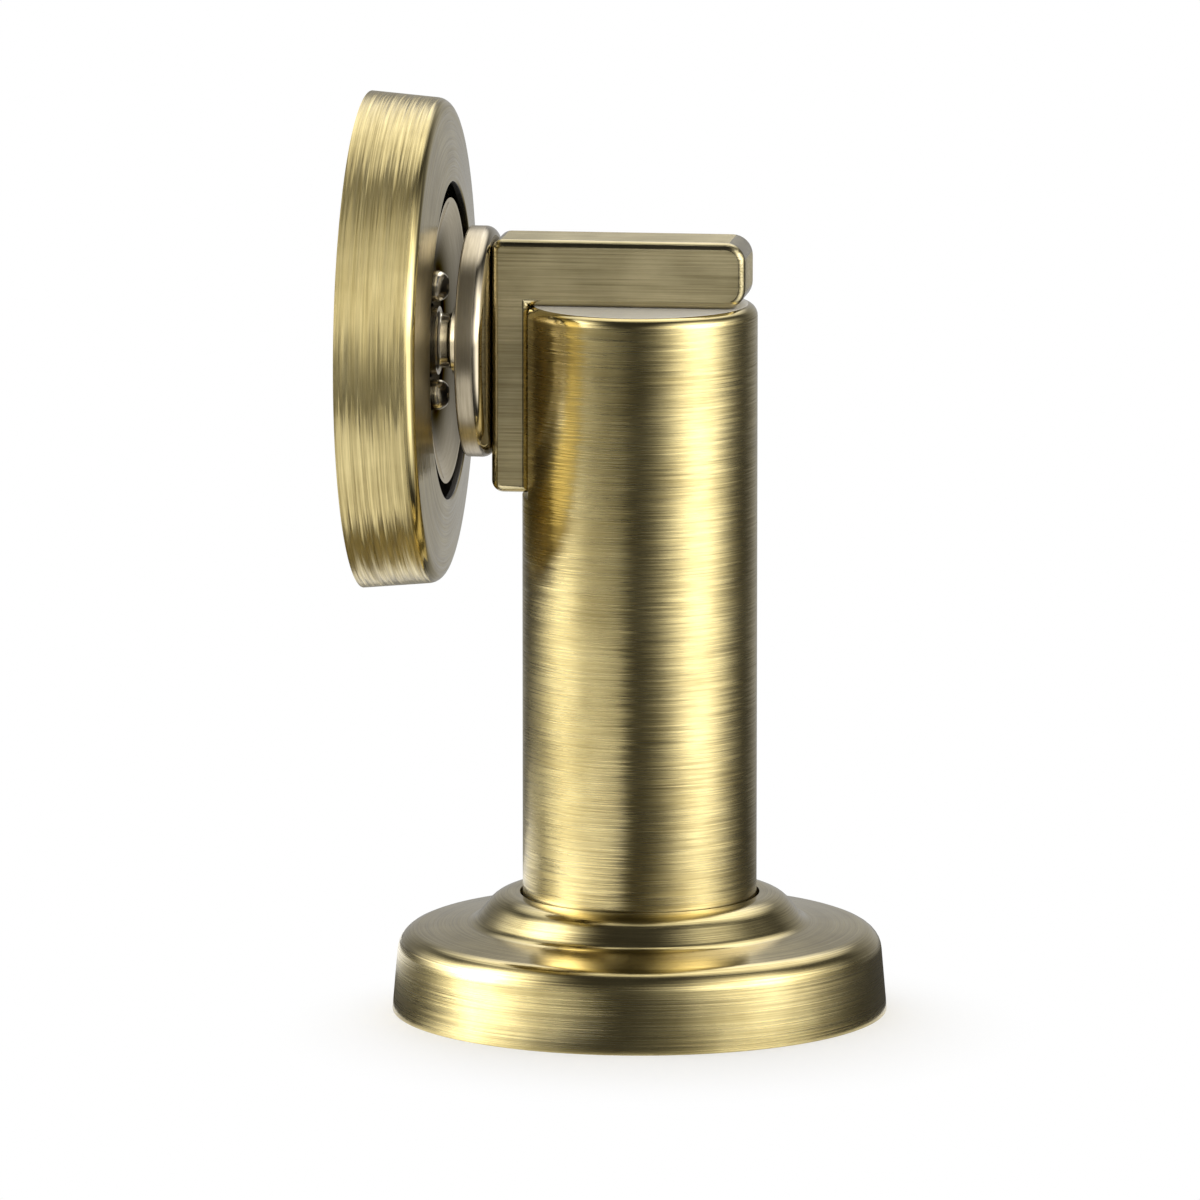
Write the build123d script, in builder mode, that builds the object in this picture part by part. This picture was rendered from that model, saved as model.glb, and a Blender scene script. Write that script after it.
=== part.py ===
"""Magnetic door stop: a floor post with a bracketed pot magnet, and the door plate that it holds.

Frame: millimetres, +Z up, origin on the post's axis at floor level.
The magnet faces -X, so the door plate stands on that side with its back plane square to X.
"""

import os
from math import radians, tan

from build123d import *

os.makedirs("parts", exist_ok=True)

# Clearances between fitted pieces
slip_gap = 0.15          # loose fit round a piece that drops in
press_gap = 0.05         # line fit of pressed, screwed or bonded pieces
running_gap = 0.06       # sliding fit of the strike's stem in its bore
free_gap = 0.3           # room round a moving piece that is not guided

# Floor post
post_d = 24.0            # outside diameter of the post
post_wall = 2.2          # tube wall
post_cap = 4.0           # thickness of the closed top
post_top_z = 73.0        # height of the flat top
post_rim_r = 1.2         # rounding of the top rim

# Base flange
base_d = 50.8            # diameter on the floor
base_draft = 5.0         # lean of the side, degrees
base_side_z = 8.15       # height where side and top would meet
base_shoulder_r = 2.4    # rounding between side and top
base_dish = 0.9          # rise of the top towards the collar
base_skin = 2.1          # wall of the hollow flange
collar_top_d = 29.2      # where the collar's top and slope would meet
collar_foot_d = 34.0     # where its slope and the flange's top would meet
collar_z = 12.1          # collar height
collar_round_r = 3.2     # crown of the collar
collar_foot_r = 1.8      # sweep at the collar's foot
post_socket_depth = 3.1  # depth of the post's seat in the collar
socket_gap = 0.3         # shadow gap round the foot of the post
socket_land = 4.0        # width of the ledge that the post stands on

# Floor fixing under the flange
floor_plate_t = 2.5
floor_screw_inset = 9.4  # screw circle from the flange's foot
floor_screw_hole_d = 4.6
floor_screw_head_d = 7.8
floor_screw_count = 3
fixing_turn = 90.0       # direction of the first fixing hole, degrees
stud_d = 10.0            # thread diameter of the floor stud
stud_shoulder_d = 15.0
stud_shoulder_h = 2.0
stud_top_z = 24.0
stud_chamfer = 1.0       # lead of the stud and of the insert's thread
insert_length = 18.0     # threaded bush in the foot of the post

# Head bracket
bracket_width = 8.0
bracket_leg = 26.0       # outside length of both legs
bracket_top_t = 6.8      # thickness of the top leg
bracket_side_t = 3.9     # thickness of the side leg
bracket_overhang = 2.8   # outer face of the side leg beyond the post
bracket_end_r = 2.1      # rounding of the free end of the top leg
bracket_corner_r = 1.2   # rounding of the outer corner and the lower end
bracket_edge_r = 0.85    # rounding along the two side faces
seat_relief = 0.5        # gap under the lower end of the side leg
bracket_thread_depth = 4.8
bracket_screw_d = 5.0
bracket_screw_head_d = 9.2
bracket_screw_head_h = 3.2
bracket_screw_hex = 4.0
bracket_screw_hex_depth = 2.1
washer_t = 1.2
washer_d = 8.8
washer_split = 0.9

# Pot magnet
magnet_axis_z = 68.8     # height of the magnet and of the door plate's centre
cup_d = 23.6
cup_depth = 2.75
cup_wall = 1.3
cup_floor = 0.8
cup_back_r = 1.15
cup_front_r = 0.25
magnet_recess = 0.1      # magnet face below the cup's rim
magnet_screw_d = 4.0
magnet_screw_head_d = 7.6
magnet_screw_recess = 0.15

# Door plate
plate_d = 50.8           # cover diameter on the door
plate_draft = 5.0        # lean of the cover's side, degrees
plate_depth = 8.6
plate_crown = 0.65       # rise of the face from its edge to the mouth
plate_edge_r = 1.4
plate_skin = 1.6         # side wall of the cover
plate_face_t = 0.7       # face of the cover
plate_mouth_d = 32.4     # hole in the cover's face
mouth_edge_r = 0.25
door_screw_inset = 6.4   # screw circle from the cover's edge
door_screw_hole_d = 4.2
door_screw_head_d = 6.0
door_screw_count = 3

# Strike
dish_d = 29.2
dish_waist_d = 26.4
dish_lip_t = 1.4
dish_rim = 0.4           # flat width of the rim
dish_rim_setback = 0.4   # rim behind the cover's face
dish_land_d = 15.0       # flat in the middle of the bowl, for the screws
dish_fall = 1.75         # depth of that flat below the rim
dish_bow = 0.25          # hollow of the bowl below its straight fall
strike_d = 7.0           # flanges of the spool-shaped strike
strike_flange_t = 1.45
strike_waist_d = 5.6
strike_waist_w = 1.6
strike_waist_r = 0.5
strike_chamfer = 0.35
strike_stem_d = 4.0
strike_travel = 1.0
strike_reach = 1.7       # strike's face beyond the cover's face
strike_air_gap = 0.05    # film of air between strike and magnet
spring_wire_d = 0.5
spring_mean_d = 5.8
spring_turns = 4
spring_length = 3.8
dish_floor_t = 1.0
clip_t = 0.48
clip_d = 6.2
clip_groove_d = 3.0
clip_mouth = 2.2
dish_screw_pcd = 11.2
dish_screw_count = 2
dish_screw_turn = 90.0   # direction of the first dish screw, degrees
dish_screw_head_d = 3.2
dish_screw_head_h = 1.85
dish_screw_crown_r = 1.3
dish_screw_d = 2.0
recess_width = 0.55      # cross recess in the small screws
recess_span = 1.7
recess_depth = 0.45

# Derived places
post_r = post_d / 2
bore_r = post_r - post_wall
base_r = base_d / 2
ledge_z = collar_z - post_socket_depth
socket_r = post_r + socket_gap
ledge_bore_r = socket_r - socket_land
base_side_r = base_r - base_side_z * tan(radians(base_draft))
collar_top_r = collar_top_d / 2
collar_foot_end_r = collar_foot_d / 2
collar_foot_z = base_side_z + base_dish
cavity_z = base_side_z - base_skin
cavity_r = base_r - base_skin
cavity_top_r = cavity_r - cavity_z * tan(radians(base_draft))
floor_screw_r = base_r - floor_screw_inset

bracket_out_x = -(post_r + bracket_overhang)
bracket_in_x = bracket_out_x + bracket_side_t
bracket_end_x = bracket_out_x + bracket_leg
bracket_top_z = post_top_z + bracket_top_t
bracket_low_z = bracket_top_z - bracket_leg

cup_back_x = bracket_out_x
cup_front_x = cup_back_x - cup_depth
magnet_front_x = cup_front_x + magnet_recess
cup_r = cup_d / 2

strike_front_x = cup_front_x - strike_air_gap
back_plate_t = clip_t + strike_travel + slip_gap
plate_front_x = strike_front_x - strike_reach
door_x = plate_front_x - plate_depth
back_plate_x = door_x + back_plate_t
plate_r = plate_d / 2
cover_slope = tan(radians(plate_draft))
plate_edge_x = plate_front_x - plate_crown
plate_face_r = plate_r - (plate_depth - plate_crown) * cover_slope
cover_back_bore_r = plate_r - plate_skin
back_plate_r = cover_back_bore_r - back_plate_t * cover_slope - press_gap
door_screw_r = plate_r - door_screw_inset

dish_rim_x = plate_front_x - dish_rim_setback
dish_r = dish_d / 2
dish_bowl_r = dish_r - dish_rim
spring_bore_r = strike_d / 2 + free_gap
dish_land_r = dish_land_d / 2
dish_land_x = dish_rim_x - dish_fall
dish_floor_x = back_plate_x + dish_floor_t
shoulder_x = dish_floor_x + spring_length
waist_front_x = strike_front_x - strike_flange_t
waist_back_x = waist_front_x - strike_waist_w
stem_r = strike_stem_d / 2
clip_x = back_plate_x - clip_t
stem_end_x = clip_x - press_gap
dish_screw_r = dish_screw_pcd / 2

# Planes and axes of the turned pieces: sketches hold the distance along the axis and the radius
post_plane = Plane.XZ
magnet_plane = Plane((0, 0, magnet_axis_z), x_dir=(1, 0, 0), z_dir=(0, -1, 0))
magnet_axis = Axis((0, 0, magnet_axis_z), (1, 0, 0))


def face_plane(x):
    """Plane square to the magnet's axis at x, with its normal towards the magnet."""
    return Plane((x, 0, magnet_axis_z), x_dir=(0, 1, 0), z_dir=(1, 0, 0))


def corner(sketch, x, y):
    """Corner of a sketch nearest to a point."""
    return sketch.vertices().sort_by_distance((x, y))[0]


def finish(builder, name):
    """Label a finished piece and write it out."""
    builder.part.label = name
    export_step(builder.part, f"parts/{name}.step")


# Base flange: hollow turned cover with a drafted side, a shoulder and a crowned collar
with BuildPart() as base_flange:
    with BuildSketch(post_plane) as flange_profile:
        with BuildLine():
            Polyline(
                (cavity_r, 0),
                (base_r, 0),
                (base_side_r, base_side_z),
                (collar_foot_end_r, collar_foot_z),
                (collar_top_r, collar_z),
                (socket_r, collar_z),
                (socket_r, ledge_z),
                (ledge_bore_r, ledge_z),
                (ledge_bore_r, cavity_z),
                (cavity_top_r, cavity_z),
                close=True,
            )
        make_face()
        fillet(corner(flange_profile, base_side_r, base_side_z), radius=base_shoulder_r)
        fillet(corner(flange_profile, collar_foot_end_r, collar_foot_z), radius=collar_foot_r)
        fillet(corner(flange_profile, collar_top_r, collar_z), radius=collar_round_r)
    revolve(axis=Axis.Z)
finish(base_flange, "base_flange")

# Floor plate: steel disc with countersunk screw holes, hidden under the flange
with BuildPart() as floor_plate:
    with BuildSketch():
        Circle(cavity_r - floor_plate_t * tan(radians(base_draft)) - slip_gap)
        Circle(stud_d / 2 + press_gap, mode=Mode.SUBTRACT)
    extrude(amount=floor_plate_t)
    with Locations(Plane.XY.offset(floor_plate_t)):
        with PolarLocations(floor_screw_r, floor_screw_count, start_angle=fixing_turn):
            CounterSinkHole(floor_screw_hole_d / 2, floor_screw_head_d / 2)
finish(floor_plate, "floor_plate")

# Floor stud: threaded stud with a shoulder, riveted into the floor plate
with BuildPart() as floor_stud:
    with Locations(Plane.XY):
        Cylinder(stud_d / 2, stud_top_z, align=(Align.CENTER, Align.CENTER, Align.MIN))
    chamfer(floor_stud.edges().sort_by(Axis.Z)[-1], length=stud_chamfer)
    with Locations(Plane.XY.offset(floor_plate_t)):
        Cylinder(stud_shoulder_d / 2, stud_shoulder_h, align=(Align.CENTER, Align.CENTER, Align.MIN))
finish(floor_stud, "floor_stud")

# Post tube: closed at the top, with a flat milled down one side for the bracket
with BuildPart() as post_tube:
    with BuildSketch(Plane.XY.offset(ledge_z)):
        Circle(post_r)
    extrude(amount=post_top_z - ledge_z)
    fillet(post_tube.edges().sort_by(Axis.Z)[-1], radius=post_rim_r)
    with BuildSketch(Plane.XY.offset(ledge_z)):
        Circle(bore_r)
    extrude(amount=post_top_z - post_cap - ledge_z, mode=Mode.SUBTRACT)
    with Locations((bracket_in_x, 0, bracket_low_z - seat_relief)):
        Box(
            bracket_side_t,
            post_d,
            bracket_leg,
            align=(Align.MAX, Align.CENTER, Align.MIN),
            mode=Mode.SUBTRACT,
        )
    with Locations(Plane.XY.offset(post_top_z)):
        Hole(bracket_screw_d / 2 + slip_gap, depth=post_cap)
finish(post_tube, "post_tube")

# Threaded insert: bush pressed into the foot of the post, screwed down on the stud
with BuildPart() as post_insert:
    with BuildSketch(Plane.XY.offset(ledge_z)):
        Circle(bore_r - press_gap)
        Circle(stud_d / 2 + press_gap, mode=Mode.SUBTRACT)
    extrude(amount=insert_length)
    chamfer(post_insert.edges().group_by(Axis.Z)[0].sort_by(SortBy.RADIUS)[0], length=stud_chamfer)
finish(post_insert, "post_insert")

# Head bracket: square L with equal legs, standing on the post's top and on its flat
with BuildPart() as head_bracket:
    with BuildSketch(Plane.XZ) as bracket_profile:
        with BuildLine():
            Polyline(
                (bracket_out_x, bracket_top_z),
                (bracket_end_x, bracket_top_z),
                (bracket_end_x, post_top_z),
                (bracket_in_x, post_top_z),
                (bracket_in_x, bracket_low_z),
                (bracket_out_x, bracket_low_z),
                close=True,
            )
        make_face()
        for end_z in (bracket_top_z, post_top_z):
            fillet(corner(bracket_profile, bracket_end_x, end_z), radius=bracket_end_r)
        for outer_z in (bracket_top_z, bracket_low_z):
            fillet(corner(bracket_profile, bracket_out_x, outer_z), radius=bracket_corner_r)
    extrude(amount=bracket_width / 2, both=True)
    side_faces = head_bracket.faces().filter_by(Axis.Y)
    fillet(side_faces.edges(), radius=bracket_edge_r)
    with Locations(Plane.XY.offset(post_top_z)):
        Cylinder(
            bracket_screw_d / 2,
            bracket_thread_depth,
            align=(Align.CENTER, Align.CENTER, Align.MIN),
            mode=Mode.SUBTRACT,
        )
    with Locations(face_plane(bracket_out_x)):
        Cylinder(
            magnet_screw_d / 2 + press_gap,
            bracket_side_t,
            align=(Align.CENTER, Align.CENTER, Align.MIN),
            mode=Mode.SUBTRACT,
        )
finish(head_bracket, "head_bracket")

# Bracket screw: hexagon socket screw driven up from inside the post
cap_under_z = post_top_z - post_cap
screw_head_z = cap_under_z - washer_t
with BuildPart() as bracket_screw:
    with Locations(Plane.XY.offset(screw_head_z)):
        Cylinder(
            bracket_screw_head_d / 2,
            bracket_screw_head_h,
            align=(Align.CENTER, Align.CENTER, Align.MAX),
        )
        Cylinder(
            bracket_screw_d / 2 - press_gap,
            post_top_z + bracket_thread_depth - press_gap - screw_head_z,
            align=(Align.CENTER, Align.CENTER, Align.MIN),
        )
    with BuildSketch(Plane.XY.offset(screw_head_z - bracket_screw_head_h)):
        RegularPolygon(bracket_screw_hex / 2, 6, major_radius=False)
    extrude(amount=bracket_screw_hex_depth, mode=Mode.SUBTRACT)
finish(bracket_screw, "bracket_screw")

# Lock washer: split ring under the bracket screw's head
with BuildPart() as lock_washer:
    with BuildSketch(Plane.XY.offset(screw_head_z)):
        Circle(washer_d / 2)
        Circle(bracket_screw_d / 2 + slip_gap, mode=Mode.SUBTRACT)
        with Locations((washer_d / 2, 0)):
            Rectangle(washer_d, washer_split, mode=Mode.SUBTRACT)
    extrude(amount=washer_t)
finish(lock_washer, "lock_washer")

# Room for the magnet's countersunk screw, cut through the cup and the magnet
screw_face_x = magnet_front_x + magnet_screw_recess
screw_neck_x = screw_face_x + magnet_screw_head_d / 2 - magnet_screw_d / 2
with BuildPart() as screw_room:
    with BuildSketch(magnet_plane):
        with BuildLine():
            Polyline(
                (bracket_out_x, 0),
                (bracket_out_x, magnet_screw_d / 2 + press_gap),
                (screw_neck_x, magnet_screw_d / 2 + press_gap),
                (screw_face_x, magnet_screw_head_d / 2 + press_gap),
                (cup_front_x, magnet_screw_head_d / 2 + press_gap),
                (cup_front_x, 0),
                close=True,
            )
        make_face()
    revolve(axis=magnet_axis)

# Magnet cup: shallow steel pot screwed to the bracket's side leg
cup_floor_x = cup_back_x - cup_floor
with BuildPart() as magnet_cup:
    with BuildSketch(magnet_plane) as cup_profile:
        with BuildLine():
            Polyline(
                (cup_back_x, 0),
                (cup_back_x, cup_r),
                (cup_front_x, cup_r),
                (cup_front_x, cup_r - cup_wall),
                (cup_floor_x, cup_r - cup_wall),
                (cup_floor_x, 0),
                close=True,
            )
        make_face()
        fillet(corner(cup_profile, cup_back_x, cup_r), radius=cup_back_r)
        fillet(corner(cup_profile, cup_front_x, cup_r), radius=cup_front_r)
    revolve(axis=magnet_axis)
    add(screw_room.part, mode=Mode.SUBTRACT)
finish(magnet_cup, "magnet_cup")

# Ring magnet: flat ring bonded into the cup
with BuildPart() as ring_magnet:
    with BuildSketch(face_plane(magnet_front_x)):
        Circle(cup_r - cup_wall - slip_gap)
    extrude(amount=cup_floor_x - magnet_front_x)
    add(screw_room.part, mode=Mode.SUBTRACT)
finish(ring_magnet, "ring_magnet")

# Magnet screw: countersunk screw through the magnet into the bracket
with BuildPart() as magnet_screw:
    with BuildSketch(magnet_plane):
        with BuildLine():
            Polyline(
                (screw_face_x, 0),
                (screw_face_x, magnet_screw_head_d / 2),
                (screw_neck_x, magnet_screw_d / 2),
                (bracket_in_x - press_gap, magnet_screw_d / 2),
                (bracket_in_x - press_gap, 0),
                close=True,
            )
        make_face()
    revolve(axis=magnet_axis)
    with BuildSketch(face_plane(screw_face_x)):
        Rectangle(recess_span, recess_width)
        Rectangle(recess_width, recess_span)
    extrude(amount=recess_depth, mode=Mode.SUBTRACT)
finish(magnet_screw, "magnet_screw")

# Plate cover: drafted ring cap, open at the back, with a wide mouth in its crowned face
cover_face_bore_r = plate_face_r - plate_skin
with BuildPart() as plate_cover:
    with BuildSketch(magnet_plane) as cover_profile:
        with BuildLine():
            Polyline(
                (door_x, cover_back_bore_r),
                (door_x, plate_r),
                (plate_edge_x, plate_face_r),
                (plate_front_x, plate_mouth_d / 2),
                (plate_front_x - plate_face_t, plate_mouth_d / 2),
                (plate_edge_x - plate_face_t, cover_face_bore_r),
                close=True,
            )
        make_face()
        fillet(corner(cover_profile, plate_edge_x, plate_face_r), radius=plate_edge_r)
        fillet(corner(cover_profile, plate_front_x, plate_mouth_d / 2), radius=mouth_edge_r)
    revolve(axis=magnet_axis)
finish(plate_cover, "plate_cover")

# Door back plate: steel disc that is screwed to the door and grips the cover
with BuildPart() as door_back_plate:
    with BuildSketch(face_plane(door_x)):
        Circle(back_plate_r)
        Circle(clip_d / 2 + free_gap, mode=Mode.SUBTRACT)
        with PolarLocations(dish_screw_r, dish_screw_count, start_angle=dish_screw_turn):
            Circle(dish_screw_d / 2 + press_gap, mode=Mode.SUBTRACT)
    extrude(amount=back_plate_t)
    with Locations(face_plane(back_plate_x)):
        with PolarLocations(door_screw_r, door_screw_count, start_angle=fixing_turn):
            CounterSinkHole(door_screw_hole_d / 2, door_screw_head_d / 2)
finish(door_back_plate, "door_back_plate")

# Strike dish: turned boss with a shallow bowl round a flat, bored for the strike and its spring
with BuildPart() as strike_dish:
    with BuildSketch(magnet_plane):
        with BuildLine():
            bowl = SagittaArc((dish_rim_x, dish_bowl_r), (dish_land_x, dish_land_r), -dish_bow)
            Polyline(
                bowl @ 1,
                (dish_land_x, spring_bore_r),
                (dish_floor_x, spring_bore_r),
                (dish_floor_x, stem_r + running_gap),
                (back_plate_x, stem_r + running_gap),
                (back_plate_x, dish_waist_d / 2),
                (dish_rim_x - dish_lip_t, dish_waist_d / 2),
                (dish_rim_x - dish_lip_t, dish_r),
                (dish_rim_x, dish_r),
                bowl @ 0,
            )
        make_face()
    revolve(axis=magnet_axis)
    with Locations(face_plane(dish_land_x)):
        with PolarLocations(dish_screw_r, dish_screw_count, start_angle=dish_screw_turn):
            Cylinder(
                dish_screw_d / 2 + slip_gap,
                plate_depth,
                align=(Align.CENTER, Align.CENTER, Align.MAX),
                mode=Mode.SUBTRACT,
            )
finish(strike_dish, "strike_dish")

# Dish screws: two round-headed screws that draw the dish down on the back plate
with BuildPart() as dish_screws:
    with Locations(face_plane(dish_land_x)):
        with PolarLocations(dish_screw_r, dish_screw_count, start_angle=dish_screw_turn):
            Cylinder(
                dish_screw_head_d / 2,
                dish_screw_head_h,
                align=(Align.CENTER, Align.CENTER, Align.MIN),
            )
    fillet(dish_screws.edges().group_by(Axis.X)[-1], radius=dish_screw_crown_r)
    with Locations(face_plane(dish_land_x)):
        with PolarLocations(dish_screw_r, dish_screw_count, start_angle=dish_screw_turn):
            Cylinder(
                dish_screw_d / 2,
                dish_land_x - door_x - slip_gap,
                align=(Align.CENTER, Align.CENTER, Align.MAX),
            )
    with BuildSketch(face_plane(dish_land_x + dish_screw_head_h - recess_depth)):
        with PolarLocations(dish_screw_r, dish_screw_count, start_angle=dish_screw_turn):
            Rectangle(recess_span, recess_width)
            Rectangle(recess_width, recess_span)
    extrude(amount=recess_depth, mode=Mode.SUBTRACT)
finish(dish_screws, "dish_screws")

# Strike stud: steel spool that meets the magnet, on a stem that slides in the dish
with BuildPart() as strike_stud:
    with BuildSketch(magnet_plane) as stud_profile:
        with BuildLine():
            Polyline(
                (strike_front_x, 0),
                (strike_front_x, strike_d / 2),
                (waist_front_x, strike_d / 2),
                (waist_front_x, strike_waist_d / 2),
                (waist_back_x, strike_waist_d / 2),
                (waist_back_x, strike_d / 2),
                (shoulder_x, strike_d / 2),
                (shoulder_x, stem_r),
                (back_plate_x, stem_r),
                (back_plate_x, clip_groove_d / 2),
                (clip_x, clip_groove_d / 2),
                (clip_x, stem_r),
                (stem_end_x, stem_r),
                (stem_end_x, 0),
                close=True,
            )
        make_face()
        chamfer(corner(stud_profile, strike_front_x, strike_d / 2), length=strike_chamfer)
        for waist_x in (waist_front_x, waist_back_x):
            fillet(corner(stud_profile, waist_x, strike_waist_d / 2), radius=strike_waist_r)
    revolve(axis=magnet_axis)
finish(strike_stud, "strike_stud")

# Stud clip: open snap ring in the stem's groove, behind the dish
with BuildPart() as stud_clip:
    with BuildSketch(face_plane(clip_x)):
        Circle(clip_d / 2)
        Circle(clip_groove_d / 2 + press_gap, mode=Mode.SUBTRACT)
        with Locations((0, -clip_d / 2)):
            Rectangle(clip_mouth, clip_d, mode=Mode.SUBTRACT)
    extrude(amount=clip_t - press_gap)
finish(stud_clip, "stud_clip")

# Strike spring: coil round the stem, between the dish's floor and the stud's shoulder
coil_height = spring_length - spring_wire_d - 2 * press_gap
with BuildPart() as strike_spring:
    with BuildLine() as coil:
        Helix(
            pitch=coil_height / spring_turns,
            height=coil_height,
            radius=spring_mean_d / 2,
            center=(dish_floor_x + spring_wire_d / 2 + press_gap, 0, magnet_axis_z),
            direction=(1, 0, 0),
        )
    with BuildSketch(Plane(coil.line @ 0, z_dir=coil.line % 0)):
        Circle(spring_wire_d / 2)
    sweep(path=coil.line, is_frenet=True)
finish(strike_spring, "strike_spring")
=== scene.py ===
"""Looks of a magnetic door stop: brushed antique brass post and door plate, nickel magnet and strike.

Every piece is a surface worked out with numpy in metres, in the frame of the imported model:
+Z up the post, -X from the magnet to the door.
"""

import math

import bmesh
import bpy
import numpy as np
from bpy.props import FloatProperty, FloatVectorProperty, IntProperty, PointerProperty
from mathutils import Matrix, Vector


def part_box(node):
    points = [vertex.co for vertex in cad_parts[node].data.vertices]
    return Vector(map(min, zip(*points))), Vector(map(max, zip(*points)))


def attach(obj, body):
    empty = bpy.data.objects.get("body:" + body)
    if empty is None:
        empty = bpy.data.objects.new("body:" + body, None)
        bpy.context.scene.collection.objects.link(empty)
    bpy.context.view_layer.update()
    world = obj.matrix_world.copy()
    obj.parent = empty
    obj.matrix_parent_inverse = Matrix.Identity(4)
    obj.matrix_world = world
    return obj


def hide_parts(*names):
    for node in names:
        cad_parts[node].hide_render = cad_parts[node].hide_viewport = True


bl_info = {
    "name": "Magnetic door stop",
    "version": (1, 0, 0),
    "blender": (4, 5, 0),
    "location": "View3D > Sidebar > Door stop",
    "description": "Builds the pieces, finishes and stage of a magnetic door stop",
    "category": "Add Mesh",
}

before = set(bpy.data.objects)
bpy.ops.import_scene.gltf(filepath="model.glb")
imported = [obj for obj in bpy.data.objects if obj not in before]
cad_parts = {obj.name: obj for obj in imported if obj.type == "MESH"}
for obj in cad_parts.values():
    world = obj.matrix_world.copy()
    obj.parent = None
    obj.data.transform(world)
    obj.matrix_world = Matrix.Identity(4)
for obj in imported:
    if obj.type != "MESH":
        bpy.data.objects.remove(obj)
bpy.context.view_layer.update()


# Settings


def length(name, metres, words):
    """Property for a length in metres."""
    return FloatProperty(name=name, description=words, default=metres, precision=5, unit="LENGTH")


def angle(name, degrees, words):
    """Property for an angle, given in degrees."""
    return FloatProperty(name=name, description=words, default=math.radians(degrees), subtype="ANGLE")


def strength(name, amount, words):
    """Property for the strength of a light."""
    return FloatProperty(name=name, description="strength of " + words, default=amount)


def tint(name, red, green, blue, words):
    """Property for a linear colour."""
    return FloatVectorProperty(
        name=name, description=words, default=(red, green, blue), size=3, min=0, max=1, subtype="COLOR"
    )


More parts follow.
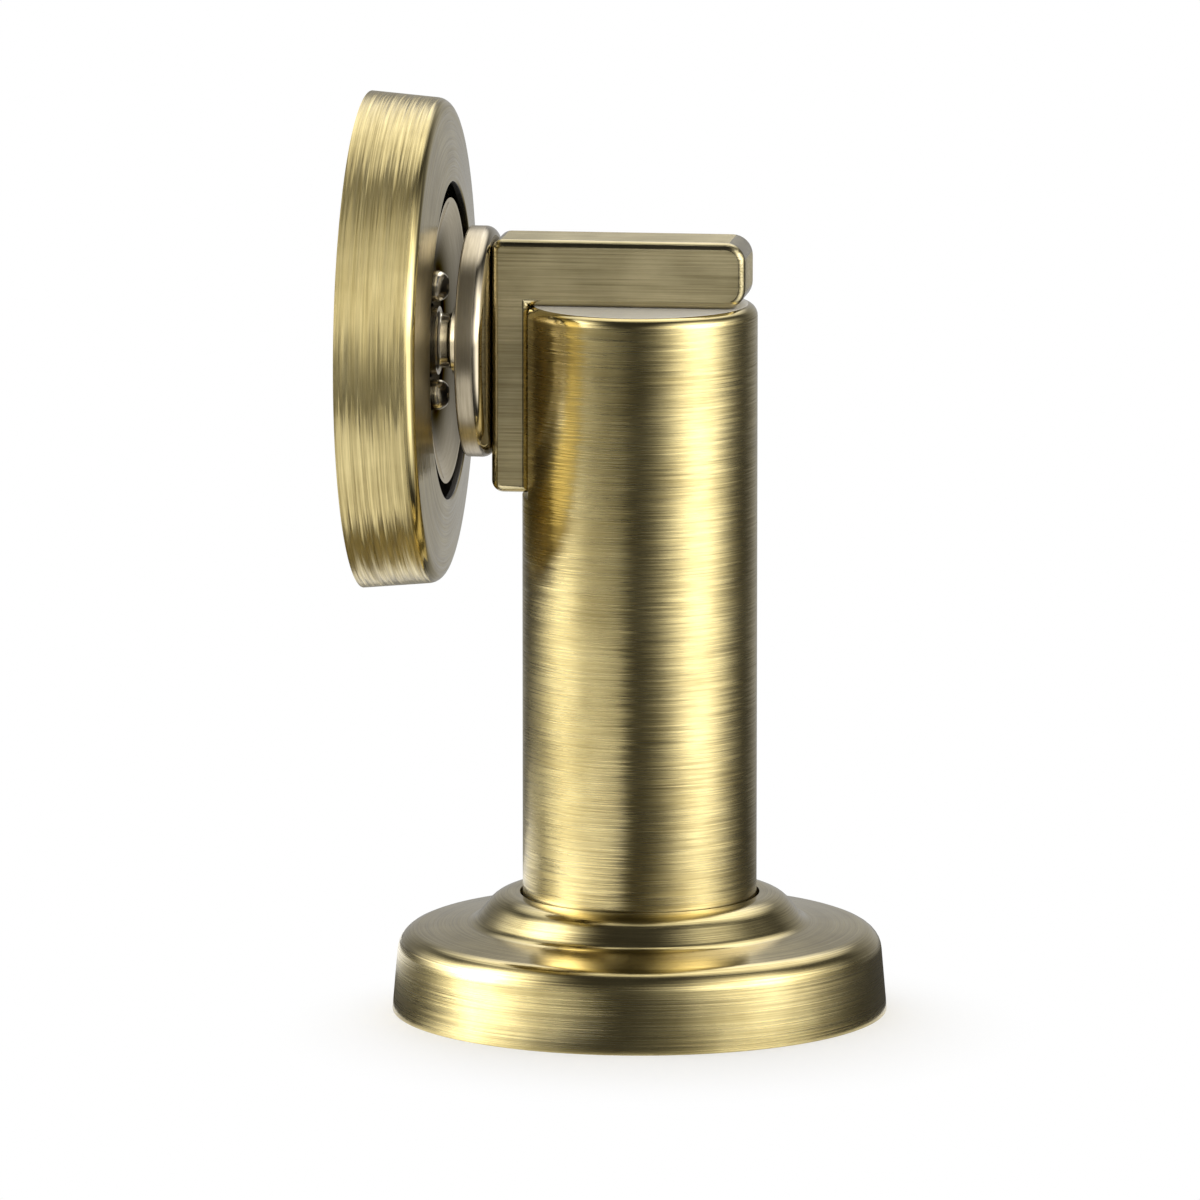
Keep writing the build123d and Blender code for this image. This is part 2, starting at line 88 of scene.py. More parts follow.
class DoorStopSizes(bpy.types.PropertyGroup):
    """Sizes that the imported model's boxes do not give."""

    base_draft: angle("Base draft", 5.0, "lean of the flange's side")
    base_side: length("Base side", 0.00815, "height where the flange's side and top would meet")
    base_shoulder: length("Base shoulder", 0.0024, "rounding between side and top")
    base_rise: length("Base rise", 0.0009, "rise of the flange's top towards the collar")
    base_skin: length("Base skin", 0.0021, "wall of the hollow flange")
    collar_top: length("Collar top", 0.0292, "diameter where the collar's top and slope would meet")
    collar_foot: length("Collar foot", 0.034, "diameter where its slope and the flange's top would meet")
    collar_crown: length("Collar crown", 0.0032, "rounding of the collar's top")
    collar_sweep: length("Collar sweep", 0.0018, "hollow rounding at the collar's foot")
    socket_land: length("Socket land", 0.004, "ledge that the post stands on")
    socket_gap: length("Socket gap", 0.0003, "shadow gap round the foot of the post")
    slip_gap: length("Slip gap", 0.00015, "loose fit round a screw")

    post_wall: length("Post wall", 0.0022, "wall of the tube")
    post_cap: length("Post cap", 0.004, "thickness of the closed top")
    post_rim: length("Post rim", 0.0012, "rounding of the top rim")
    post_hole: length("Post hole", 0.0053, "screw hole in the closed top")
    seat_relief: length("Seat relief", 0.0005, "gap under the bracket's side leg")

    bracket_top: length("Top leg", 0.0068, "thickness of the bracket's top leg")
    bracket_side: length("Side leg", 0.0039, "thickness of the bracket's side leg")
    bracket_end: length("Leg end", 0.0021, "rounding of the top leg's free end")
    bracket_corner: length("Bracket corner", 0.0012, "rounding of the outer corner and the lower end")
    bracket_edge: length("Bracket edge", 0.00085, "rounding along the side faces")

    cup_wall: length("Cup wall", 0.0013, "wall of the magnet's cup")
    cup_back: length("Cup back", 0.00115, "rounding of the cup's back edge")
    cup_front: length("Cup front", 0.00025, "rounding of the cup's rim")
    magnet_chamfer: length("Magnet edge", 0.00015, "rounding of the ring magnet")
    screw_shank: length("Magnet screw", 0.004, "shank of the countersunk screw")
    screw_gap: length("Screw gap", 0.00005, "room round the countersunk screw")

    plate_draft: angle("Plate draft", 5.0, "lean of the cover's side")
    plate_crown: length("Plate crown", 0.00065, "rise of the cover's face from its edge to the mouth")
    plate_edge: length("Plate edge", 0.0014, "rounding of the cover's front edge")
    plate_skin: length("Plate skin", 0.0016, "side wall of the cover")
    plate_face: length("Plate face", 0.0007, "thickness of the cover's face")
    plate_mouth: length("Plate mouth", 0.0324, "hole in the cover's face")
    mouth_edge: length("Mouth edge", 0.00025, "rounding of the hole's edge")

    dish_waist: length("Dish waist", 0.0264, "diameter behind the dish's lip")
    dish_lip: length("Dish lip", 0.0014, "thickness of the dish's lip")
    dish_rim: length("Dish rim", 0.0004, "flat width of the dish's rim")
    dish_land: length("Dish flat", 0.015, "diameter of the flat in the middle of the bowl")
    dish_fall: length("Dish fall", 0.00175, "depth of that flat below the rim")
    dish_bow: length("Dish bow", 0.00025, "hollow of the bowl below its straight fall")
    # These two radii bound the painted shade that darkens the middle of the strike's bowl.
    painted_shade_inner: length("Shade inner", 0.0075, "radius of the bowl's darkest painted_shade")
    painted_shade_outer: length("Shade outer", 0.0135, "radius where that painted_shade ends")
    dish_floor: length("Dish floor", 0.001, "floor under the strike's spring")
    running_gap: length("Running gap", 0.00006, "sliding fit of the strike's stem")
    free_gap: length("Free gap", 0.0003, "room round the strike's head")
    strike_stem: length("Strike stem", 0.004, "stem that slides in the dish")
    strike_chamfer: length("Strike chamfer", 0.00035, "bevel round the strike's face")
    strike_flange: length("Strike flange", 0.00145, "thickness of the spool's front flange")
    strike_waist: length("Strike waist", 0.0056, "diameter between the spool's flanges")
    waist_width: length("Waist width", 0.0016, "width between the spool's flanges")
    waist_round: length("Waist rounding", 0.0005, "rounding at the bottom of the waist")
    spring_room: length("Spring room", 0.0038, "space for the spring behind the strike's head")
    clip_groove: length("Clip groove", 0.003, "diameter of the groove for the snap clip")

    dish_screw_circle: length("Dish screw circle", 0.0112, "circle of the two dish screws")
    dish_screw_head: length("Dish screw head", 0.0032, "diameter of a dish screw's head")
    dish_screw_crown: length("Dish screw crown", 0.0013, "rounding of a dish screw's head")
    dish_screw_shank: length("Dish screw shank", 0.002, "shank of a dish screw")
    recess_width: length("Recess width", 0.00055, "arm of the cross recess")
    recess_span: length("Recess span", 0.0017, "reach of the cross recess")
    recess_depth: length("Recess depth", 0.00045, "depth of the cross recess")

    turn_steps: IntProperty(name="Turn steps", description="facets round a turned piece", default=256)
    arc_steps: IntProperty(name="Arc steps", description="points on a rounding", default=9)


class DoorStopFinish(bpy.types.PropertyGroup):
    """Colours of the metals."""

    brass_dark: tint("Brass, dark", 0.34, 0.268, 0.106, "antique brass in the brush lines")
    brass_light: tint("Brass, light", 0.70, 0.59, 0.29, "antique brass between the brush lines")
    satin_dark: tint("Satin brass, dark", 0.22, 0.185, 0.09, "bracket's flats in the brush lines")
    satin_light: tint("Satin brass, light", 0.57, 0.495, 0.295, "bracket's flats between the lines")
    # Painted highlight: the post's top is coloured near white so that it looks brightly lit.
    end_highlight_dark: tint("Highlighted end, dark", 0.88, 0.84, 0.74, "ground top of the post in the grinding lines")
    end_highlight_light: tint("Highlighted end, light", 1.0, 0.98, 0.94, "ground top of the post between the lines")
    # Painted shade: the near-black colour in the middle of the strike's bowl.
    bowl_painted_shade: tint("Bowl, dark", 0.07, 0.06, 0.04, "dark painted_shade in the middle of the strike's bowl")
    raw_dark: tint("Raw brass, dark", 0.62, 0.46, 0.21, "unplated brass in the turning marks")
    raw_light: tint("Raw brass, light", 0.76, 0.60, 0.31, "unplated brass between the marks")
    nickel_dark: tint("Nickel, dark", 0.38, 0.33, 0.24, "nickel plate in the turning marks")
    nickel_light: tint("Nickel, light", 0.52, 0.46, 0.345, "nickel plate between the marks")
    bright_dark: tint("Bright nickel, dark", 0.72, 0.66, 0.53, "strike in the turning marks")
    bright_light: tint("Bright nickel, light", 0.88, 0.82, 0.69, "strike between the marks")
    zinc_dark: tint("Zinc, dark", 0.50, 0.51, 0.53, "zinc plate in its darker flakes")
    zinc_light: tint("Zinc, light", 0.68, 0.69, 0.71, "zinc plate in its lighter flakes")
    magnet_dark: tint("Magnet, dark", 0.15, 0.15, 0.16, "ground magnet in the grinding marks")
    magnet_light: tint("Magnet, light", 0.26, 0.26, 0.27, "ground magnet between the marks")


class DoorStopStage(bpy.types.PropertyGroup):
    """Camera, floor and light tent."""

    camera_turn: angle("Camera turn", 6.94, "camera's direction round the post, from -Y towards +X")
    camera_rise: angle("Camera rise", 9.36, "camera's height above the horizon")
    camera_reach: length("Camera reach", 1.262, "distance from the camera to the target")
    target_height: length("Target height", 0.04371, "height of the target on the post's axis")
    frame_width: length("Frame width", 0.12268, "width of the picture at the target")
    frame_right: length("Frame right", -0.00407, "picture's middle to the right of the target")
    frame_up: length("Frame up", -0.00135, "picture's middle above the target")
    floor_reach: length("Floor reach", 6.0, "half of the floor's side")
    tent_radius: length("Tent radius", 0.9, "radius of the light tent")
    tent_height: length("Tent height", 0.9, "height of the light tent's wall")
    tent_opening: length("Tent opening", 0.0258, "open circle in the tent's dark floor round the stop")
    strip_inner: length("Strip inner", 0.03, "distance from the X axis to the lit floor before and behind it")
    strip_front: length("Strip front", 0.135, "distance from the X axis to the front edge of the lit floor")
    strip_back: length("Strip back", 0.06, "distance from the X axis to the back edge of the lit floor")
    strip_left: length("Strip left", -0.09, "left edge, in X, of the lit floor")
    strip_right: length("Strip right", -0.025, "right edge, in X, of the lit floor")
    left_panel: angle("Left panel", -79.0, "direction of the left light panel, from -Y towards +X")
    right_panel: angle("Right panel", 68.0, "direction of the right light panel, from -Y towards +X")
    high_panel: angle("High panel", 58.0, "height of the back panel's middle above the horizon")
    high_core: angle("High core", 14.0, "angle from its middle to where it starts to fade")
    high_edge: angle("High edge", 40.0, "angle from its middle to where it has faded")
    left_light: strength("Left light", 5.6, "the left panel")
    right_light: strength("Right light", 2.6, "the right panel")
    skirt_light: strength("Skirt light", 3.0, "their wide soft skirts")
    strip_light: strength("Strip light", 2.0, "the lit floor")
    high_light: strength("High light", 2.0, "the high back panel")
    back_cloth: strength("Back cloth", 0.47, "the cloth at the back")
    front_cloth: strength("Front cloth", 0.05, "the cloth in front")


# Surfaces


def rounded(corners, steps):
    """Outline through rows of (along, radius, rounding): each rounding is the arc that touches both sides.

    A point on the arc is its centre plus the two tangent spokes blended by the sine of their share.
    """
    corners = np.asarray(corners, dtype=float)
    places, roundings = corners[:, :2], corners[:, 2]
    back = np.roll(places, 1, axis=0) - places
    onward = np.roll(places, -1, axis=0) - places
    back /= np.linalg.norm(back, axis=1, keepdims=True)
    onward /= np.linalg.norm(onward, axis=1, keepdims=True)
    half = np.arccos(np.clip((back * onward).sum(axis=1), -1, 1)) / 2
    share = np.linspace(0, 1, steps)[:, None]
    outline = []
    for place, to_back, to_next, bend, radius in zip(places, back, onward, half, roundings):
        if radius == 0:
            outline.append(place[None])
            continue
        middle = to_back + to_next
        centre = place + middle / np.linalg.norm(middle) * radius / math.sin(bend)
        first = place + to_back * radius / math.tan(bend) - centre
        last = place + to_next * radius / math.tan(bend) - centre
        sweep = math.pi - 2 * bend
        blend = np.sin((1 - share) * sweep) * first + np.sin(share * sweep) * last
        outline.append(centre + blend / math.sin(sweep))
    return np.concatenate(outline)


def turned_grid(outline, steps):
    """Grid of a turned surface: (radius cos turn, radius sin turn, along) for each outline point and turn.

    The outline is put in the order that makes its faces look outwards.
    """
    along, radius = outline.T
    area = (radius * np.roll(along, -1) - np.roll(radius, -1) * along).sum()
    if area < 0:
        along, radius = along[::-1], radius[::-1]
    turn = np.arange(steps) * (2 * math.pi / steps)
    grid = np.empty((len(along), steps, 3))
    grid[..., 0] = radius[:, None] * np.cos(turn)
    grid[..., 1] = radius[:, None] * np.sin(turn)
    grid[..., 2] = along[:, None]
    return grid


def along_x(grid, axis_height):
    """The grid with its turning axis laid along X at a height."""
    return grid[..., [2, 0, 1]] + np.array((0, 0, axis_height))


class Shell:
    """Points, faces of four and three corners, and the unrolled place of each face corner."""

    def __init__(self, points, quads, quad_places, threes, three_places):
        self.points = points
        self.quads, self.quad_places = quads, quad_places
        self.threes, self.three_places = threes, three_places


def shell(grid, closed):
    """Shell over a grid that wraps round its columns, and round its rows if it is closed.

    Points that fall together are joined, and faces that shrink to a line are left out.
    The unrolled place is the share of the turn and the distance run along the outline.
    """
    rows, columns = grid.shape[:2]
    flat = grid.reshape(-1, 3)
    _, first, number = np.unique(np.round(flat, 8), axis=0, return_index=True, return_inverse=True)
    number = number.reshape(rows, columns)
    points = flat[first]
    steps = np.linalg.norm(np.roll(grid, -1, axis=0) - grid, axis=2).max(axis=1)
    run = np.concatenate(([0.0], np.cumsum(steps)))
    lower = number if closed else number[:-1]
    upper = np.roll(number, -1, axis=0) if closed else number[1:]
    bands = len(lower)
    faces = np.stack((lower, np.roll(lower, -1, axis=1), np.roll(upper, -1, axis=1), upper), axis=-1)
    share = np.arange(columns + 1) / columns
    places = np.empty((bands, columns, 4, 2))
    places[..., 0] = np.stack((share[:-1], share[1:], share[1:], share[:-1]), axis=-1)
    start, end = run[:bands], run[1:bands + 1]
    places[..., 1] = np.stack((start, start, end, end), axis=-1)[:, None]
    faces, places = faces.reshape(-1, 4), places.reshape(-1, 4, 2)
    same = faces == np.roll(faces, -1, axis=1)
    whole = same.sum(axis=1) == 0
    folded = same.sum(axis=1) == 1
    order = (np.argmax(same[folded], axis=1)[:, None] + np.arange(1, 4)) % 4
    threes = np.take_along_axis(faces[folded], order, axis=1)
    three_places = np.take_along_axis(places[folded], order[..., None], axis=1)
    return Shell(points, faces[whole], places[whole], threes, three_places)


def together(shells):
    """One shell made of several."""
    starts = np.cumsum([0] + [len(each.points) for each in shells[:-1]])
    return Shell(
        np.concatenate([each.points for each in shells]),
        np.concatenate([each.quads + start for each, start in zip(shells, starts)]),
        np.concatenate([each.quad_places for each in shells]),
        np.concatenate([each.threes + start for each, start in zip(shells, starts)]),
        np.concatenate([each.three_places for each in shells]),
    )


def moved(source, offset):
    """A shell moved by an offset."""
    points = source.points + np.asarray(offset)
    return Shell(points, source.quads, source.quad_places, source.threes, source.three_places)


def turned(corners, sizes, axis_height=None, closed=True):
    """Shell of a turned piece from its outline corners, upright or along X at a height."""
    grid = turned_grid(rounded(corners, sizes.arc_steps), sizes.turn_steps)
    if axis_height is not None:
        grid = along_x(grid, axis_height)
    return shell(grid, closed)


SHARP = math.radians(22)


def mesh_object(name, source):
    """Blender object with the shell's mesh, smooth up to its sharp edges, and its unrolled map."""
    mesh = bpy.data.meshes.new(name)
    mesh.from_pydata(source.points.tolist(), [], source.quads.tolist() + source.threes.tolist())
    places = np.concatenate((source.quad_places.ravel(), source.three_places.ravel()))
    mesh.uv_layers.new(name="turn").data.foreach_set("uv", places)
    smooth(mesh)
    made = bpy.data.objects.new(name, mesh)
    bpy.context.scene.collection.objects.link(made)
    return made


def smooth(mesh):
    """Shades a mesh smooth, with sharp edges where faces meet at more than the sharp angle."""
    mesh.polygons.foreach_set("use_smooth", np.ones(len(mesh.polygons), dtype=bool))
    mesh.set_sharp_from_angle(angle=SHARP)
    mesh.update()


def carve(piece, tool):
    """Cuts the tool's shell out of a piece and keeps the result as its mesh."""
    cutter = mesh_object(piece.name + "_tool", tool)
    cut = piece.modifiers.new("carve", "BOOLEAN")
    cut.operation, cut.solver, cut.object = "DIFFERENCE", "EXACT", cutter
    result = bpy.data.meshes.new_from_object(piece.evaluated_get(bpy.context.evaluated_depsgraph_get()))
    if len(result.polygons) in (0, len(piece.data.polygons)):
        raise RuntimeError(f"{piece.name} was not cut")
    piece.modifiers.remove(cut)
    piece.data = result
    bpy.data.objects.remove(cutter)
    smooth(result)


def place(piece, material, body, slot, node):
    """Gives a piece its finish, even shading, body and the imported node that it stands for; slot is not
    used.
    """
    piece.data.materials.clear()
    piece.data.materials.append(material)
    even = piece.modifiers.new("even shading", "WEIGHTED_NORMAL")
    even.keep_sharp = True
    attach(piece, body)
    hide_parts(node)


# Finishes


def put(tree, kind, sockets=None, **settings):
    """A new node with its settings, and its sockets linked or set."""
    made = tree.nodes.new(kind)
    for name, value in settings.items():
        setattr(made, name, value)
    for name, value in (sockets or {}).items():
        if isinstance(value, bpy.types.NodeSocket):
            tree.links.new(value, made.inputs[name])
        else:
            made.inputs[name].default_value = value
    return made


def math_of(tree, operation, first, second=0.0):
    """Output of a math node."""
    return put(tree, "ShaderNodeMath", {0: first, 1: second}, operation=operation).outputs[0]


def vector_of(tree, operation, first, second=(0, 0, 0)):
    """Vector output of a vector math node."""
    return put(tree, "ShaderNodeVectorMath", {0: first, 1: second}, operation=operation).outputs[0]


def number_of(tree, operation, first, second=(0, 0, 0)):
    """Number output of a vector math node."""
    return put(tree, "ShaderNodeVectorMath", {0: first, 1: second}, operation=operation).outputs["Value"]


def scaled(tree, vector, size):
    """A vector times a number."""
    return put(tree, "ShaderNodeVectorMath", {0: vector, "Scale": size}, operation="SCALE").outputs[0]


def remap(tree, value, low, high, to_low, to_high, smooth_step=False):
    """A value taken from one range to another and held there."""
    kind = "SMOOTHSTEP" if smooth_step else "LINEAR"
    sockets = {"Value": value, "From Min": low, "From Max": high, "To Min": to_low, "To Max": to_high}
    return put(tree, "ShaderNodeMapRange", sockets, interpolation_type=kind).outputs["Result"]


def effect(name, inputs, outputs):
    """An empty shader node group with named sockets: the tree, what it is given and what it gives."""
    tree = bpy.data.node_groups.new(name, "ShaderNodeTree")
    for title, kind in inputs:
        tree.interface.new_socket(name=title, in_out="INPUT", socket_type=kind)
    for title, kind in outputs:
        tree.interface.new_socket(name=title, in_out="OUTPUT", socket_type=kind)
    return tree, tree.nodes.new("NodeGroupInput").outputs, tree.nodes.new("NodeGroupOutput").inputs


BRUSH_INPUTS = (("Vector", "NodeSocketVector"), ("Lines", "NodeSocketFloat"), ("Reach", "NodeSocketFloat"))
BRUSH_OUTPUTS = (("Streak", "NodeSocketFloat"), ("Sway", "NodeSocketFloat"), ("Tone", "NodeSocketFloat"))
SWAY_APART = (31.7, 12.9, 57.3)
CLOUDS_PER_METRE = 160.0


def brush_outputs(tree, vector, place_in, extra, outputs):
    """Fine streaks and a slower sway from a stretched noise, and clouds of tone from the plain place."""
    sockets = {"Vector": place_in, "W": extra, "Scale": 1.0, "Detail": 4.0, "Roughness": 0.65}
    fine = put(tree, "ShaderNodeTexNoise", sockets, noise_dimensions="4D").outputs[0]
    apart = vector_of(tree, "ADD", place_in, SWAY_APART)
    sockets = {"Vector": apart, "W": extra, "Scale": 1.1, "Detail": 3.0, "Roughness": 0.6}
    slow = put(tree, "ShaderNodeTexNoise", sockets, noise_dimensions="4D").outputs[0]
    sockets = {"Vector": vector, "Scale": CLOUDS_PER_METRE, "Detail": 3.0}
    cloud = put(tree, "ShaderNodeTexNoise", sockets).outputs[0]
    tree.links.new(remap(tree, fine, 0.36, 0.64, 0.0, 1.0), outputs["Streak"])
    tree.links.new(remap(tree, slow, 0.25, 0.75, 0.0, 1.0), outputs["Sway"])
    tree.links.new(remap(tree, cloud, 0.35, 0.65, 0.0, 1.0), outputs["Tone"])


def turned_brush():
    """Lines that run round the Z axis, fine along it and along the radius, long round the turn."""
    tree, given, out = effect("turned brush", BRUSH_INPUTS, BRUSH_OUTPUTS)
    parts = put(tree, "ShaderNodeSeparateXYZ", {0: given["Vector"]}).outputs
    level = put(tree, "ShaderNodeCombineXYZ", {0: parts[0], 1: parts[1]}).outputs[0]
    round_part = scaled(tree, vector_of(tree, "NORMALIZE", level), given["Reach"])
    radius = number_of(tree, "LENGTH", level)
    height = math_of(tree, "MULTIPLY", parts[2], given["Lines"])
    upright = put(tree, "ShaderNodeCombineXYZ", {2: height}).outputs[0]
    where = vector_of(tree, "ADD", round_part, upright)
    brush_outputs(tree, given["Vector"], where, math_of(tree, "MULTIPLY", radius, given["Lines"]), out)
    return tree


def straight_brush():
    """Lines that run along X, fine across it."""
    tree, given, out = effect("straight brush", BRUSH_INPUTS, BRUSH_OUTPUTS)
    parts = put(tree, "ShaderNodeSeparateXYZ", {0: given["Vector"]}).outputs
    run = math_of(tree, "MULTIPLY", parts[0], given["Reach"])
    side = math_of(tree, "MULTIPLY", parts[1], given["Lines"])
    height = math_of(tree, "MULTIPLY", parts[2], given["Lines"])
    where = put(tree, "ShaderNodeCombineXYZ", {0: run, 1: side, 2: height}).outputs[0]
    brush_outputs(tree, given["Vector"], where, 0.0, out)
    return tree


# Painted shade: near-black colour for the inner faces of the door plate's cover.
INSIDE_PAINTED_SHADE = (0.03, 0.025, 0.018)
# Little metal on the post's top, so its near-white painted highlight colour shows under diffuse light.
HIGHLIGHT_END_METAL = 0.1
SATIN_METAL = 0.7
# Painted shade on the bowl's shine in a glancing view, fading to the unshaded shine at its rim.
SHADED_GLANCE_TINT = (0.18, 0.16, 0.12)
UNSHADED_GLANCE_TINT = (0.96, 0.91, 0.80)
STREAK_SHARE = 0.65
GRAIN_DEPTH = 0.00003
LACQUER_GLOSS = 0.12
ACROSS_LINES = 0.25
POLISH_CALM = 0.7


def metal(
    name, brush, marks, colours, rough, grain, axis_height=None, lacquer=0.0, stretch=0.0, sway=0.0, flat=1.0
):
    """A brushed metal: streaks and clouds vary its colour, gloss and grain.

    marks is the lines per metre and the reach of a line; colours are the metal in and between the lines;
    rough is its roughness between the lines, in them, and where the piece's polish attribute is 1;
    where a face's painted shade attribute is 1 the metal is painted nearly black as shade;
    axis_height lays the brushing axis along X at that height; stretch spreads the gloss across the lines;
    sway leans the surface along the lines; flat is how much of a metal it is where it is not polished.
    """
    made = bpy.data.materials.new(name)
    made.use_nodes = True
    tree = made.node_tree
    shader = tree.nodes["Principled BSDF"]
    where = put(tree, "ShaderNodeTexCoord").outputs["Object"]
    if axis_height is not None:
        sockets = {"Vector": where, "Location": (0, 0, axis_height), "Rotation": (0, math.pi / 2, 0)}
        where = put(tree, "ShaderNodeMapping", sockets, vector_type="TEXTURE").outputs[0]
    sockets = {"Vector": where, "Lines": marks[0], "Reach": marks[1]}
    brushed = put(tree, "ShaderNodeGroup", sockets, node_tree=brush).outputs
    streak = brushed["Streak"]
    painted_inner_shade = put(tree, "ShaderNodeAttribute", attribute_name="painted_inner_shade").outputs["Fac"]
    polish = put(tree, "ShaderNodeAttribute", attribute_name="polish").outputs["Fac"]

    in_streaks = math_of(tree, "MULTIPLY", streak, STREAK_SHARE)
    in_clouds = math_of(tree, "MULTIPLY", brushed["Tone"], 1 - STREAK_SHARE)
    colour = mixed_colour(tree, math_of(tree, "ADD", in_streaks, in_clouds), *colours)
    tree.links.new(mixed_colour(tree, painted_inner_shade, colour, INSIDE_PAINTED_SHADE), shader.inputs["Base Color"])
    gloss = remap(tree, streak, 0.0, 1.0, rough[1], rough[0])
    sockets = {"Factor": polish, "A": gloss, "B": rough[2]}
    gloss = put(tree, "ShaderNodeMix", sockets, data_type="FLOAT").outputs[0]
    tree.links.new(gloss, shader.inputs["Roughness"])
    shader.inputs["Metallic"].default_value = 1.0
    if flat < 1:
        tree.links.new(remap(tree, polish, 0.0, 1.0, flat, 1.0), shader.inputs["Metallic"])
    shader.inputs["Coat Weight"].default_value = lacquer
    shader.inputs["Coat Roughness"].default_value = LACQUER_GLOSS
    sockets = {"Strength": grain, "Distance": GRAIN_DEPTH, "Height": streak}
    normal = put(tree, "ShaderNodeBump", sockets).outputs[0]
    if stretch:
        way = put(tree, "ShaderNodeTangent", direction_type="UV_MAP", uv_map="turn").outputs[0]
        tree.links.new(way, shader.inputs["Tangent"])
        shader.inputs["Anisotropic"].default_value = stretch
        shader.inputs["Anisotropic Rotation"].default_value = ACROSS_LINES
        brushed_share = math_of(tree, "SUBTRACT", 1.0, math_of(tree, "MULTIPLY", polish, POLISH_CALM))
        lean = math_of(tree, "MULTIPLY", math_of(tree, "SUBTRACT", brushed["Sway"], 0.5), brushed_share)
        lean = scaled(tree, way, math_of(tree, "MULTIPLY", lean, sway))
        normal = vector_of(tree, "NORMALIZE", vector_of(tree, "ADD", normal, lean))
    tree.links.new(normal, shader.inputs["Normal"])
    return made


def mixed_colour(tree, share, first, second):
    """Output of a colour mix; each colour is a socket or three numbers."""
    made = put(tree, "ShaderNodeMix", {0: share}, data_type="RGBA")
    for socket, colour in ((made.inputs[6], first), (made.inputs[7], second)):
        if isinstance(colour, bpy.types.NodeSocket):
            tree.links.new(colour, socket)
        else:
            socket.default_value = (*colour, 1)
    return made.outputs[2]


def paint_bowl_shade(material, axis_height, dark, inner, outer):
    """Paints shade on a metal: darkens its colour and its shine in a glancing view, from an outer to an inner
    distance from the axis.
    """
    tree = material.node_tree
    shader = tree.nodes["Principled BSDF"]
    plain = shader.inputs["Base Color"].links[0].from_socket
    where = put(tree, "ShaderNodeTexCoord").outputs["Object"]
    offset = vector_of(tree, "SUBTRACT", where, (0, 0, axis_height))
    distance = number_of(tree, "LENGTH", vector_of(tree, "MULTIPLY", offset, (0, 1, 1)))
    share = remap(tree, distance, inner, outer, 0.0, 1.0, True)
    tree.links.new(mixed_colour(tree, share, dark, plain), shader.inputs["Base Color"])
    tree.links.new(mixed_colour(tree, share, SHADED_GLANCE_TINT, UNSHADED_GLANCE_TINT), shader.inputs["Specular Tint"])


BASE_POLISH = (0.25, 0.75)
POST_POLISH = (0.1, 0.5)
CUP_POLISH = (0.1, 0.4)
RING_POLISH = (0.2, 0.6)
INSIDE = 0.8
FLAT = 0.99
ROUND = 0.97


def mark(piece, name, share):
    """Keeps a share for each face of a piece as a named attribute."""
    piece.data.attributes.new(name, "FLOAT", "FACE").data.foreach_set("value", np.clip(share, 0, 1))


def face_values(piece, name):
    """Normals or middles of a piece's faces."""
    values = np.empty(len(piece.data.polygons) * 3)
    piece.data.polygons.foreach_get(name, values)
    return values.reshape(-1, 3)


def mark_polish(piece, way, low, high):
    """Marks faces as polished: 0 to 1 as their normal's part along a direction goes from low to high."""
    mark(piece, "polish", (face_values(piece, "normal") @ np.asarray(way) - low) / (high - low))


def mark_painted_inner_shade(piece, axis_height):
    """Marks the faces that look back at the door or in at the magnet's axis for painted shade."""
    normals = face_values(piece, "normal")
    outward = face_values(piece, "center") - np.array((0, 0, axis_height))
    outward[:, 0] = 0
    inward = -(normals * outward).sum(axis=1) / np.linalg.norm(outward, axis=1)
    mark(piece, "painted_inner_shade", (np.maximum(inward, -normals[:, 0]) > INSIDE).astype(float))


# Pieces


def magnet_height():
    """Height of the axis that magnet and door plate share."""
    low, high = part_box("magnet_cup")
    return (low.z + high.z) / 2


def finishes(context):
    """The metals of the stop by name, made once."""
    made = bpy.data.materials
    if "antique brass, upright" in made:
        return made
    colours, sizes = context.scene.door_stop_finish, context.scene.door_stop_sizes
    round_marks, long_marks = turned_brush(), straight_brush()
    axis = magnet_height()
    brass = (colours.brass_dark, colours.brass_light)
    satin = (colours.satin_dark, colours.satin_light)
    highlight_end = (colours.end_highlight_dark, colours.end_highlight_light)
    nickel = (colours.nickel_dark, colours.nickel_light)
    bright = (colours.bright_dark, colours.bright_light)
    zinc = (colours.zinc_dark, colours.zinc_light)
    raw = (colours.raw_dark, colours.raw_light)
    magnet = (colours.magnet_dark, colours.magnet_light)
    metal(
        "antique brass, upright", round_marks, (7000, 1.1), brass, (0.22, 0.36, 0.1), 0.12,
        lacquer=0.35, stretch=0.7, sway=0.19,
    )
    metal(
        "antique brass, door plate", round_marks, (5200, 1.8), brass, (0.34, 0.48, 0.05), 0.14,
        axis_height=axis, lacquer=0.2, stretch=0.95, sway=0.34,
    )
    metal(
        "satin brass", long_marks, (4800, 60), satin, (0.5, 0.66, 0.1), 0.4,
        lacquer=0.3, flat=SATIN_METAL,
    )
    # The post's top gets a near-white painted highlight colour instead of brass.
    ends = metal("brass end, painted highlight", long_marks, (3600, 60), highlight_end, (0.5, 0.6, 0.1), 0.2)
    ends.node_tree.nodes["Principled BSDF"].inputs["Metallic"].default_value = HIGHLIGHT_END_METAL
    metal("polished nickel", round_marks, (5200, 3.0), nickel, (0.32, 0.38, 0.06), 0.02, axis, stretch=0.6)
    metal("bright nickel", round_marks, (5200, 3.0), bright, (0.16, 0.22, 0.06), 0.02, axis)
    # The bowl's dark middle and dim glancing shine are painted shade.
    bowl = metal("nickel bowl with painted shade", round_marks, (5200, 3.0), bright, (0.06, 0.12, 0.05), 0.02, axis)
    paint_bowl_shade(bowl, axis, colours.bowl_painted_shade, sizes.painted_shade_inner, sizes.painted_shade_outer)
    metal("ground magnet", long_marks, (5200, 500), magnet, (0.35, 0.5, 0.3), 0.12)
    metal("zinc plate", round_marks, (900, 6.0), zinc, (0.28, 0.42, 0.25), 0.08)
    metal("raw brass", round_marks, (2600, 3.0), raw, (0.24, 0.36, 0.2), 0.10)
    return made


